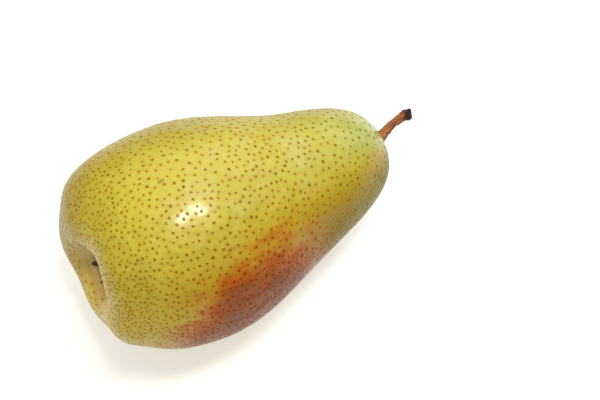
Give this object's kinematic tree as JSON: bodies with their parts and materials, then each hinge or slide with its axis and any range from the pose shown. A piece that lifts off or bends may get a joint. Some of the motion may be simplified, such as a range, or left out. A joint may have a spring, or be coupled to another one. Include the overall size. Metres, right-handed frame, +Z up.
{
  "type": "pear",
  "caption": "Ripe yellow-green pear with a red blush, lying on its belly, with a woody stem and a dried calyx in its basin.",
  "frame": {"origin": "on the surface the pear lies on, under the middle of the whole object", "axes": "+Z up, +X along the fruit towards the stem, which hangs a little lower than the calyx end; +Y to the side"},
  "size_m": [0.1236, 0.0718, 0.0719],
  "materials": {
    "pear_skin": "smooth, waxy, speckled with lenticels, yellow green with a red blush",
    "stem_bark": "dry, wrinkled bark with a rough broken end",
    "dried_calyx": "dry, curled, papery"
  },
  "bodies": {
    "root": {"pear_body": "pear_skin", "stem": "stem_bark", "calyx_cup": "dried_calyx", "sepal_1": "dried_calyx", "sepal_2": "dried_calyx", "sepal_3": "dried_calyx", "sepal_4": "dried_calyx", "sepal_5": "dried_calyx", "stamen_tuft": "dried_calyx"}
  },
  "joints": []
}
